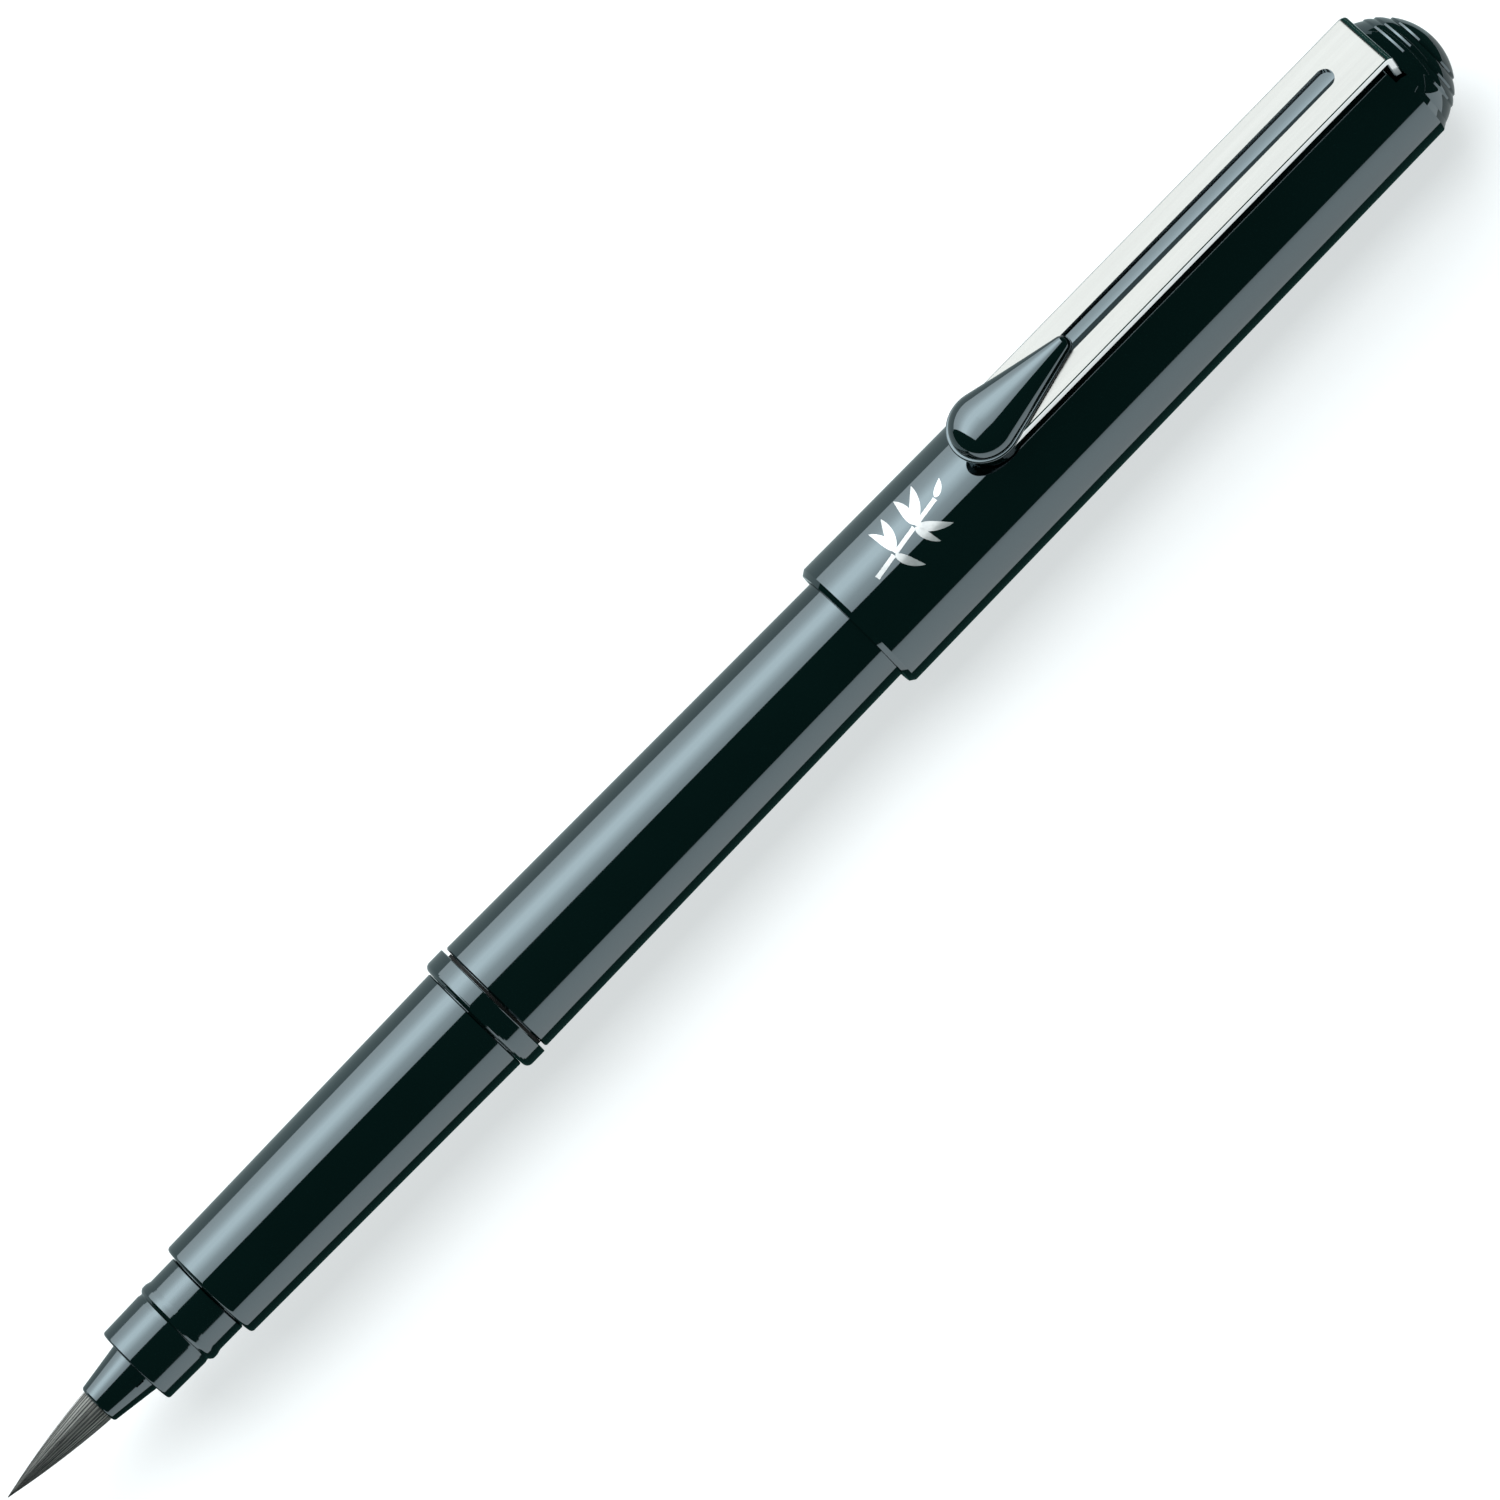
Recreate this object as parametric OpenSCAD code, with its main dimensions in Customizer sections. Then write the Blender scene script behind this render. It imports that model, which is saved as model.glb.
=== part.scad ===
// Brush pen with its cap posted on the barrel's tail.
// X runs along the pen, from the brush tip at -X to the cap's dome at +X.
// Z is up. The clip lies on top and the rim of the cap's mouth stands on Z = 0.
// Inside each module the pieces are placed by their distance from the tip, in millimetres.

/* [Brush] */
// Length of the free bristles, from the point to the nose cone
tuft_len = 10.5; // [8:0.1:14]
// Radius of the tuft where it enters the nose cone
tuft_r = 1.45; // [1:0.05:2.2]
// Visible length of the nose cone
nose_len = 4.3; // [3:0.1:6]
// Radius of the nose cone at its front edge
nose_front_r = 1.9; // [1.6:0.05:2.4]
// Radius of the nose cone at its base
nose_rear_r = 2.5; // [2.2:0.05:3]

/* [Tip holder] */
// Visible length of the tip holder
holder_len = 8.4; // [7:0.1:11]
// Radius of the tip holder at its front face
holder_front_r = 3.75; // [3.4:0.05:4]
// Radius of the tip holder behind the snap bead
holder_rear_r = 3.95; // [3.6:0.05:4.2]
// Radius over the snap bead that the inner cap closes on
bead_r = 4.05; // [3.9:0.01:4.3]
// Radius of the stem that is pushed into the grip section
stem_r = 3.6; // [3.2:0.05:3.9]
// Length of the stem
stem_len = 10.4; // [8:0.1:14]

/* [Grip section] */
// Visible length of the grip section
grip_len = 30.9; // [25:0.1:36]
// Radius of the grip at its front edge
grip_front_r = 4.83; // [4.5:0.01:5.1]
// Radius of the grip at the ring
grip_rear_r = 5.19; // [4.9:0.01:5.22]

/* [Joint] */
// Radius of the ring between the grip and the barrel
ring_r = 5.87; // [5.5:0.01:6.2]
// Length of the ring
ring_len = 2.02; // [1.5:0.01:3]
// Thickness of the joint washer behind the ring
washer_t = 0.28; // [0.2:0.01:0.5]
// Pitch of the joint's thread
thread_pitch = 1.5; // [1:0.05:2]
// Turns of thread on the joint
thread_turns = 4; // [3:0.5:5]
// Root radius of the thread on the joint
thread_root_r = 4.2; // [4:0.01:4.3]
// Height of the joint's thread
thread_h = 0.4; // [0.3:0.01:0.45]

/* [Barrel] */
// Length of the barrel
barrel_len = 67.9; // [60:0.1:75]
// Radius of the barrel at its front
barrel_front_r = 5.675; // [5.4:0.005:5.9]
// Radius of the barrel at its tail
barrel_tail_r = 4.94; // [4.8:0.01:5.1]
// Bore radius of the barrel at the thread
barrel_bore_r = 4.68; // [4.6:0.01:4.8]

/* [Cartridge] */
// Radius of the ink cartridge
cartridge_r = 3.8; // [3.4:0.05:3.85]
// Radius of the cartridge's neck
cartridge_neck_r = 2.6; // [2.2:0.05:2.65]
// Overall length of the cartridge
cartridge_len = 51; // [45:0.5:52]
// Wall of the cartridge
cartridge_wall = 0.6; // [0.5:0.05:0.9]
// Radius of the sealing ball
ball_r = 1.38; // [1.2:0.01:1.5]

/* [Cap] */
// Length of the cap tube
cap_len = 63.05; // [58:0.05:68]
// Distance from the brush tip to the cap's mouth, cap posted
cap_mouth_x = 98.7; // [96:0.1:102]
// Radius of the cap at its mouth
cap_mouth_r = 6.4; // [6.2:0.05:6.7]
// Radius of the cap at the seam below the finial
cap_top_r = 5.93; // [5.8:0.01:6.2]
// Bore radius of the cap
cap_bore_r = 5.28; // [5.25:0.01:5.4]
// Bore radius of the inner cap
inner_bore_r = 4.12; // [4.08:0.01:4.2]
// Radius of the dome on the finial
dome_r = 5.81; // [5.6:0.01:6.2]

/* [Clip] */
// Height of the strap's top face above the pen's axis
clip_top = 8.7; // [8.4:0.05:9.2]
// Width of the strap
clip_w = 5.75; // [5:0.05:6.5]
// Thickness of the strap
clip_t = 0.75; // [0.6:0.05:1]
// Width of the window slot in the strap
clip_window_w = 1.77; // [1.2:0.01:2.2]
// Distance from the tip to the far end of the window slot
clip_window_end = 157.5; // [150:0.1:158]

/* [Knob] */
// Radius of the knob's wide end
knob_wide_r = 3.25; // [3:0.05:3.6]
// Radius of the knob's narrow end
knob_narrow_r = 0.85; // [0.6:0.05:1.2]
// Overall length of the knob
knob_len = 13.1; // [10:0.1:15]
// Height of the knob above the strap
knob_h = 2.2; // [1.2:0.05:2.8]

/* [Hidden] */
$fn = 96;

// stations along the pen, measured from the brush tip
nose_x = tuft_len + 0.1;
holder_x = nose_x + nose_len + 0.1;
grip_x = holder_x + holder_len + 0.1;
ring_x = grip_x + grip_len + 0.05;
ring_end = ring_x + ring_len;
barrel_x = ring_end + washer_t + 0.05;
barrel_end = barrel_x + barrel_len;
cap_end = cap_mouth_x + cap_len;
finial_x = cap_end + 0.05;
pen_len = 166;
axis_z = cap_mouth_r;

// the tuft bends about a point just ahead of the nose cone
bend_x = 9.8;
bend_r = tuft_radius(bend_x) + 0.005;
root_x = bend_x + bend_r + 0.1;
base_x = nose_x + nose_len + 0.9;
feed_x = holder_x + 4.5;
stem_end = holder_x + holder_len + stem_len;
wick_r = 0.55;
wick_x = nose_x + 3.6;
wick_end = 52;

// the joint and what it carries
spigot_x = 40;
spigot_r = 4.3;
washer_r = 5.1;
core_end = 67;
thread_x = barrel_x + 1.1;
thread_crest = 0.4;
tube_r = 1.3;
tube_bore_r = 0.8;
tube_x = 46;
tube_end = 66;

// the cartridge
cart_x = 62.5;
cart_end = cart_x + cartridge_len;
cart_shoulder = cart_x + 7.5;
cart_body = cart_shoulder + 1.5;
cart_bore_r = cartridge_r - cartridge_wall;
ball_x = 76;
ball_drop = cart_bore_r - ball_r - 0.08;

// the cap's inner parts
bulkhead_x = 156.2;
bulkhead_t = 1.2;
liner_x = 131;
liner_end = 154.8;
screw_r = 1.5;
screw_head_r = 2.6;
dome_x = pen_len - dome_r;

// the clip
clip_bend_r = 0.85;
clip_leg_x = 161.65;
clip_leg_foot = 3.6;
clip_slot_gap = 0.25;
clip_low = clip_top - clip_t;
knob_x = 117.35;
knob_narrow_x = knob_x + knob_len - knob_wide_r - knob_narrow_r;
rivet_r = 0.72;

black = [0.03, 0.05, 0.05];
dark = [0.1, 0.11, 0.11];
steel = [0.75, 0.76, 0.78];

// radius of the tuft at a distance from its point
function tuft_radius(x) = tuft_r * (x / tuft_len) * (1.44 - 0.44 * x / tuft_len);

// radius of the barrel's outside at a station
function barrel_radius(x) =
    barrel_front_r + (barrel_tail_r - barrel_front_r) * (x - barrel_x) / barrel_len;

// radius of the cap's outside at a station
function cap_radius(x) =
    cap_mouth_r + (cap_top_r - cap_mouth_r) * (x - cap_mouth_x - 1.3) / (cap_len - 1.85);

// points of a circular arc in the plane of a turned outline
function arc(cx, cy, r, a0, a1, n = 8) =
    [for (i = [0:n]) let (a = a0 + (a1 - a0) * i / n) [cx + r * cos(a), cy + r * sin(a)]];

// carries the pieces from tip distances to the part's own frame
module pen() {
    translate([-pen_len / 2, 0, axis_z]) children();
}

// turns an outline of [radius, distance from the tip] about the pen's axis
module turned(outline) {
    rotate([0, 90, 0]) rotate_extrude() polygon(outline);
}

// a plain rod or tube on the pen's axis
module rod(r, from, to, bore = 0) {
    turned([[bore, from], [r, from], [r, to], [bore, to]]);
}

// a helical ridge: base and crest radius, half widths, start station, turns and phase
module helix(base_r, crest_r, base_w, crest_w, from, turns, phase = 0, steps = 30) {
    n = ceil(turns * steps);
    fade = steps / 3;
    side = crest_r > base_r ? 1 : -1;
    section = [for (i = [0:n])
        let (
            a = 360 * i / steps + phase,
            x = from + thread_pitch * i / steps,
            rise = min(1, min(i, n - i) / fade),
            top = base_r + (crest_r - base_r) * max(0.15, rise)
        )
        for (p = [[base_r, -base_w], [top, -crest_w], [top, crest_w], [base_r, base_w]])
            [x + side * p[1], p[0] * cos(a), p[0] * sin(a)]];
    sides = [for (i = [0:n - 1]) for (k = [0:3])
        let (a = 4 * i + k, b = 4 * i + (k + 1) % 4)
        for (t = [[a, b, b + 4], [a, b + 4, a + 4]]) t];
    front = [[0, 2, 1], [0, 3, 2]];
    back = [[4 * n, 4 * n + 1, 4 * n + 2], [4 * n, 4 * n + 2, 4 * n + 3]];
    polyhedron(points = section, faces = concat(sides, front, back));
}

// the free, bending part of the tuft, rounded where it turns in the nose cone's mouth
module tuft_tip() {
    color([0.2, 0.2, 0.18]) pen() {
        turned(concat(
            [[0, 0]],
            [for (i = [1:14]) let (x = bend_x * i / 14) [tuft_radius(x), x]],
            arc(0, bend_x, bend_r, 0, 90, 10)
        ));
    }
}

// the gripped part of the tuft, with a socket behind for the ink wick
module bristle_root() {
    color([0.25, 0.24, 0.2]) pen() {
        difference() {
            turned([[0, root_x], [tuft_r - 0.1, root_x], [tuft_r, root_x + 0.4],
                [tuft_r, nose_x + nose_len - 0.1], [1.7, nose_x + nose_len + 0.3],
                [1.7, base_x], [0, base_x]]);
            rod(wick_r + 0.03, wick_x - 0.05, base_x + 1);
        }
    }
}

// the welded disc that binds the bristle roots
module tuft_base() {
    color([0.6, 0.58, 0.5]) pen() {
        difference() {
            rod(1.9, base_x + 0.02, base_x + 1, wick_r + 0.05);
            for (a = [45:90:315])
                translate([base_x + 0.5, 1.35 * cos(a), 1.35 * sin(a)])
                    rotate([0, 90, 0]) cylinder(r = 0.22, h = 3, center = true, $fn = 24);
        }
    }
}

// the tapered collar round the tuft, with its vent notch
module nose_cone() {
    base = nose_x + nose_len;
    color(black) pen() {
        difference() {
            turned(concat(
                [[1.95, base + 4.2], [1.95, base - 0.1], [1.5, base - 0.2], [1.5, nose_x + 0.1],
                    [1.6, nose_x]],
                arc(nose_front_r - 0.28, nose_x + 0.28, 0.28, -80, 0, 6),
                [[nose_rear_r - 0.05, base - 0.1], [nose_rear_r - 0.05, base], [2.4, base],
                    [2.4, base + 4.2]]
            ));
            rotate([48, 0, 0]) translate([base - 0.6, 0, nose_rear_r])
                cube([0.8, 1, 0.7], center = true);
        }
    }
}

// the front cylinder with the snap bead, its stem going into the grip
module tip_holder() {
    bead_x = holder_x + 5.1;
    color(black) pen() {
        difference() {
            turned(concat(
                [[2.42, holder_x], [holder_front_r - 0.18, holder_x],
                    [holder_front_r, holder_x + 0.18], [holder_front_r + 0.06, bead_x - 0.5]],
                arc(bead_r - 0.55, bead_x, 0.55, -58, 58, 8),
                [[holder_rear_r, bead_x + 0.6], [holder_rear_r, holder_x + holder_len - 0.1],
                    [holder_rear_r - 0.1, holder_x + holder_len], [stem_r, holder_x + holder_len],
                    [stem_r, stem_end - 0.4], [stem_r - 0.4, stem_end], [2.2, stem_end],
                    [2.2, holder_x + 4.3], [2.42, holder_x + 4.3]]
            ));
            for (a = [0, 180])
                rotate([a + 90, 0, 0]) translate([stem_end, 0, stem_r])
                    cube([14, 0.9, 0.7], center = true);
        }
    }
}

// the finned ink buffer with an air channel along it
module feed_comb() {
    pitch = 0.85;
    fins = 15;
    color(dark) pen() {
        difference() {
            union() {
                rod(1.25, feed_x, stem_end - 0.3, wick_r + 0.06);
                rod(2.1, feed_x, feed_x + 1, wick_r + 0.06);
                for (i = [1:fins])
                    rod(2.1, feed_x + 1 + (i - 1) * pitch + 0.35, feed_x + 1 + i * pitch,
                        wick_r + 0.06);
            }
            translate([feed_x - 1, -0.2, 0.9]) cube([stem_len + 10, 0.4, 2]);
        }
    }
}

// the fibre rod from the piercing tube to the bristles
module ink_wick() {
    color([0.85, 0.84, 0.8]) pen() {
        turned([[0, wick_x], [wick_r - 0.15, wick_x], [wick_r, wick_x + 0.3],
            [wick_r, wick_end - 0.3], [wick_r - 0.15, wick_end], [0, wick_end]]);
    }
}

// the grip tube, with a bulkhead between the holder's bore and the joint's bore
module grip_section() {
    color(black) pen() {
        turned(concat(
            [[stem_r + 0.25, grip_x]],
            arc(grip_front_r - 0.33, grip_x + 0.33, 0.33, -90, 0, 6),
            [[grip_rear_r, ring_x - 0.15], [grip_rear_r - 0.1, ring_x - 0.05],
                [spigot_r + 0.02, ring_x - 0.05], [spigot_r + 0.02, spigot_x - 1],
                [3.4, spigot_x - 2], [1, spigot_x - 2], [1, stem_end + 0.4],
                [stem_r + 0.05, stem_end + 0.4], [stem_r + 0.05, grip_x + 0.2]]
        ));
    }
}

// the ring with its spigot in front and its thread behind
module joint_ring() {
    f = 0.57;
    color(black) pen() {
        difference() {
            union() {
                turned(concat(
                    [[tube_r + 0.02, spigot_x + 8], [3, spigot_x + 8], [3, spigot_x],
                        [spigot_r - 0.3, spigot_x], [spigot_r, spigot_x + 0.3], [spigot_r, ring_x],
                        [ring_r - f, ring_x]],
                    arc(ring_r - f, ring_x + f, f, -80, 0, 7),
                    [[ring_r, ring_end - 0.05], [ring_r - 0.05, ring_end], [4.6, ring_end],
                        [4.6, barrel_x + 0.4], [thread_root_r, barrel_x + 0.7],
                        [thread_root_r, core_end - 0.4], [thread_root_r - 0.4, core_end],
                        [cartridge_neck_r + 0.3, core_end], [cartridge_neck_r + 0.1, core_end - 0.4],
                        [cartridge_neck_r + 0.1, spigot_x + 12], [tube_r + 0.02, spigot_x + 12]]
                ));
                helix(thread_root_r - 0.06, thread_root_r + thread_h, 0.5, thread_crest / 2,
                    thread_x, thread_turns);
            }
            for (a = [0, 180])
                rotate([a, 0, 0]) translate([core_end, 0, thread_root_r])
                    cube([2.4, 1, 1.2], center = true);
        }
    }
}

// the thin seal between the ring and the barrel
module joint_washer() {
    color([0.06, 0.06, 0.06]) pen() {
        difference() {
            rod(washer_r, ring_end + 0.02, ring_end + 0.01 + washer_t, 4.62);
            for (a = [0:60:300])
                translate([ring_end + washer_t / 2, 4.62 * cos(a), 4.62 * sin(a)])
                    rotate([0, 90, 0]) cylinder(r = 0.12, h = 1, center = true, $fn = 16);
        }
    }
}

// the hollow spike the cartridge is pushed onto, with its seat flange
module piercing_tube() {
    color(steel) pen() {
        difference() {
            turned([[tube_bore_r, tube_x], [2.9, tube_x], [2.9, spigot_x + 7.98],
                [tube_r, spigot_x + 7.98], [tube_r, tube_end - 0.6], [tube_r - 0.4, tube_end],
                [tube_bore_r, tube_end]]);
            translate([tube_end, 0, 0]) rotate([0, 50, 0]) cube([1.6, 4, 1.2], center = true);
        }
    }
}

// the ink cartridge: neck, shoulder and closed body
module cartridge_tube() {
    color([0.8, 0.85, 0.85, 0.5]) pen() {
        turned(concat(
            [[0, cart_end], [0, cart_end - 0.7], [cart_bore_r - 0.5, cart_end - 0.7],
                [cart_bore_r, cart_end - 1.2], [cart_bore_r, cart_body + 0.3],
                [tube_r + 0.06, cart_shoulder - 2], [tube_r + 0.06, cart_x],
                [cartridge_neck_r - 0.3, cart_x], [cartridge_neck_r, cart_x + 0.3],
                [cartridge_neck_r, cart_x + 1.2], [cartridge_neck_r - 0.25, cart_x + 1.4],
                [cartridge_neck_r - 0.25, cart_x + 2.2], [cartridge_neck_r, cart_x + 2.4],
                [cartridge_neck_r, cart_shoulder], [cartridge_r, cart_body]],
            arc(cartridge_r - 0.8, cart_end - 0.8, 0.8, 0, 90, 6)
        ));
    }
}

// the sealing ball, loose in the cartridge
module cartridge_ball() {
    color(steel) pen() {
        translate([ball_x, 0, -ball_drop]) sphere(r = ball_r);
    }
}

// the barrel, threaded inside its front and stepped down to hold the cartridge's tail
module barrel_tube() {
    wall_in = barrel_bore_r;
    seat_r = cartridge_r + 0.07;
    color(black) pen() {
        difference() {
            union() {
                turned(concat(
                    [[wall_in, barrel_x], [barrel_front_r - 0.12, barrel_x],
                        [barrel_front_r, barrel_x + 0.14]],
                    arc(barrel_tail_r - 0.8, barrel_end - 0.8, 0.8, 0, 90, 7),
                    [[4.02, barrel_end], [4.02, barrel_end - 1.25], [3.42, barrel_end - 1.25],
                        [3.42, cart_end + 1.5], [seat_r, cart_end + 0.6],
                        [seat_r, cart_end - 7], [4.4, cart_end - 10], [4.4, core_end + 2],
                        [wall_in, core_end + 1]]
                ));
                helix(wall_in + 0.05, wall_in - thread_h, 0.5, thread_crest / 2,
                    thread_x + thread_pitch / 2, thread_turns - 1);
            }
            for (a = [0:90:270])
                rotate([a + 45, 0, 0]) translate([cart_end - 4, 0, seat_r])
                    cube([14, 0.8, 0.6], center = true);
        }
    }
}

// the plug that closes the barrel's tail
module tail_plug() {
    color(dark) pen() {
        turned([[0, barrel_end - 4], [2.4, barrel_end - 4], [2.4, barrel_end - 5],
            [3.2, barrel_end - 5], [3.4, barrel_end - 4.6], [3.4, barrel_end - 1.22],
            [4, barrel_end - 1.22], [4, barrel_end - 0.15], [3.85, barrel_end],
            [0.6, barrel_end], [0.35, barrel_end - 0.25], [0, barrel_end - 0.25]]);
    }
}

// room for the clip's leg through the cap's rim and the finial's spigot
module leg_slot() {
    translate([clip_leg_x - clip_t - clip_slot_gap, -clip_w / 2 - 0.2, clip_leg_foot - 0.25])
        cube([clip_t + 2 * clip_slot_gap, clip_w + 0.4, 4]);
}

// the cap tube, with a bulkhead for the finial's screw
module cap_tube() {
    color(black) pen() {
        difference() {
            turned([[cap_bore_r + 0.3, cap_mouth_x], [cap_mouth_r - 0.31, cap_mouth_x],
                [cap_mouth_r, cap_mouth_x + 0.46], [cap_mouth_r, cap_mouth_x + 1.3],
                [cap_top_r, cap_end - 0.55], [cap_top_r - 0.33, cap_end],
                [cap_bore_r, cap_end], [cap_bore_r, bulkhead_x + bulkhead_t],
                [screw_r + 0.08, bulkhead_x + bulkhead_t], [screw_r + 0.08, bulkhead_x],
                [cap_bore_r, bulkhead_x], [cap_bore_r, cap_mouth_x + 0.5]]);
            leg_slot();
        }
    }
}

// the liner that seals round the snap bead when the pen is capped
module inner_cap() {
    od = cap_bore_r - 0.02;
    color([0.35, 0.37, 0.38]) pen() {
        difference() {
            turned([[inner_bore_r + 0.45, liner_x], [od - 0.2, liner_x], [od, liner_x + 0.2],
                [od, liner_end - 0.5], [od - 0.5, liner_end], [0, liner_end],
                [0, liner_end - 0.9], [inner_bore_r - 0.5, liner_end - 0.9],
                [inner_bore_r, liner_end - 1.4], [inner_bore_r, liner_x + 1.2]]);
            for (a = [0:60:300])
                rotate([a, 0, 0]) translate([liner_x + 11, 0, od])
                    cube([30, 1.1, 0.7], center = true);
        }
    }
}

// the dome's outline from the seam to the crown, dipping at each fine groove; angles from the axis
function dome_outline(grooves, cut, w = 0.9, n = 7) =
    let (
        a = [for (g = grooves) asin(g / dome_r)],
        last = len(grooves),
        from = [acos((finial_x - dome_x) / dome_r), for (g = a) g - w],
        to = [for (g = a) g + w, 0]
    )
    [for (i = [0:last])
        for (p = concat(
            [for (k = [0:n]) [dome_r, from[i] + (to[i] - from[i]) * k / n]],
            i < last ? [[dome_r - cut, a[i] + w * 0.3], [dome_r - cut, a[i] - w * 0.3]] : []
        ))
            [max(0, p[0] * sin(p[1])), dome_x + p[0] * cos(p[1])]];

// the domed end of the cap, with fine ring grooves and the clip's pocket
module finial() {
    spigot = bulkhead_x + bulkhead_t + 0.05;
    color(black) pen() {
        difference() {
            turned(concat(
                [[screw_r + 0.04, 161.5], [screw_r + 0.04, spigot], [cap_bore_r - 0.02, spigot],
                    [cap_bore_r - 0.02, finial_x]],
                dome_outline([5.04, 4.52, 3.54], 0.09),
                [[0, 161.5]]
            ));
            leg_slot();
        }
    }
}

// the screw that draws the finial onto the cap, with a driver slot in its head
module finial_screw() {
    color(steel) pen() {
        difference() {
            turned([[0, bulkhead_x - 1.2], [screw_head_r - 0.3, bulkhead_x - 1.2],
                [screw_head_r, bulkhead_x - 0.8], [screw_head_r, bulkhead_x - 0.02],
                [screw_r, bulkhead_x - 0.02], [screw_r, 160.8], [screw_r - 0.4, 161.2],
                [0, 161.2]]);
            translate([bulkhead_x - 1.2, 0, 0]) cube([1, 8, 0.6], center = true);
        }
    }
}

// cross-section of the strap, its long edges softened
module strap_section(w) {
    c = 0.14;
    a = w / 2;
    b = clip_t;
    polygon([[-a + c, 0], [a - c, 0], [a - c / 3, c / 3], [a, c], [a, b - c],
        [a - c / 3, b - c / 3], [a - c, b], [-a + c, b], [-a + c / 3, b - c / 3],
        [-a, b - c], [-a, c], [-a + c / 3, c / 3]]);
}

// the clip: a flat strap with a window slot, bent down into the cap at its root
module clip_strap() {
    bend_cx = clip_leg_x - clip_bend_r;
    bend_cz = clip_top - clip_bend_r;
    tip_r = clip_w / 2;
    color([0.88, 0.89, 0.9]) pen() {
        difference() {
            union() {
                translate([knob_x, 0, clip_low]) rotate([90, 0, 90])
                    linear_extrude(bend_cx - knob_x) strap_section(clip_w);
                translate([knob_x, 0, clip_low + 0.07]) cylinder(r = tip_r, h = clip_t - 0.14);
                translate([bend_cx, 0, bend_cz]) rotate([90, 0, 0])
                    rotate_extrude(angle = 90)
                        translate([clip_bend_r - clip_t, 0]) rotate(90) mirror([0, 1])
                            strap_section(clip_w);
                translate([clip_leg_x, 0, clip_leg_foot]) rotate([0, 0, 90])
                    linear_extrude(bend_cz - clip_leg_foot) strap_section(clip_w);
            }
            translate([knob_x + 4.6, 0, clip_low - 1]) linear_extrude(3) {
                circle(d = clip_window_w, $fn = 32);
                translate([0, -clip_window_w / 2])
                    square([clip_window_end - clip_window_w / 2 - knob_x - 4.6, clip_window_w]);
                translate([clip_window_end - clip_window_w / 2 - knob_x - 4.6, 0])
                    circle(d = clip_window_w, $fn = 32);
            }
            translate([knob_x, 0, clip_low - 1]) cylinder(r = rivet_r + 0.03, h = 3, $fn = 32);
        }
    }
}

// outline of a teardrop: two arcs and the flanks that touch both
module teardrop(wide, narrow, span) {
    lean = asin((wide - narrow) / span);
    polygon(concat(
        arc(span, 0, narrow, -90 + lean, 90 - lean, 14),
        arc(0, 0, wide, 90 - lean, 270 + lean, 40)
    ));
}

// a low dome standing on its base circle
module dome(r, h) {
    rotate_extrude($fn = 48)
        polygon(concat([[0, 0]], [for (i = [0:8]) let (a = 90 * i / 8)
            [r * pow(cos(a), 0.9), h * pow(sin(a), 0.95)]]));
}

// the knob's upper half, on top of the strap
module knob_top() {
    rim = 0.28;
    span = knob_narrow_x - knob_x;
    base = clip_top + 0.02;
    color(black) pen() {
        difference() {
            union() {
                translate([knob_x, 0, base]) linear_extrude(rim)
                    teardrop(knob_wide_r, knob_narrow_r, span);
                translate([knob_x, 0, base + rim - 0.01]) hull() {
                    dome(knob_wide_r - 0.28, knob_h - rim);
                    translate([span, 0, 0]) dome(knob_narrow_r - 0.16, (knob_h - rim) * 0.45);
                }
            }
            translate([knob_x, 0, clip_low]) cylinder(r = rivet_r + 0.03, h = clip_t + 0.5, $fn = 32);
        }
    }
}

// the knob's lower half, between the strap and the cap
module knob_base() {
    foot = cap_radius(knob_x) + 0.16;
    color(black) pen() {
        difference() {
            union() {
                translate([knob_x, 0, foot + 0.3]) linear_extrude(clip_low - foot - 0.32)
                    teardrop(2.6, 0.8, 7.2);
                translate([knob_x, 0, foot]) cylinder(r1 = 1.9, r2 = 2.35, h = 0.31);
            }
            translate([knob_x, 0, foot + 0.45]) cylinder(r = rivet_r + 0.03, h = 3, $fn = 32);
        }
    }
}

// the rivet through the strap that joins the knob's halves
module knob_rivet() {
    foot = cap_radius(knob_x) + 0.16;
    color([0.8, 0.7, 0.4]) pen() {
        translate([knob_x, 0, foot + 0.5])
            cylinder(r = rivet_r, h = clip_top + 0.45 - foot - 0.5, $fn = 32);
    }
}

tuft_tip();
bristle_root();
tuft_base();
nose_cone();
tip_holder();
feed_comb();
ink_wick();
grip_section();
joint_ring();
joint_washer();
piercing_tube();
cartridge_tube();
cartridge_ball();
barrel_tube();
tail_plug();
cap_tube();
inner_cap();
finial();
finial_screw();
clip_strap();
knob_top();
knob_base();
knob_rivet();
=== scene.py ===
import math
import random

import bpy
import numpy as np
from mathutils import Matrix, Vector


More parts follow.
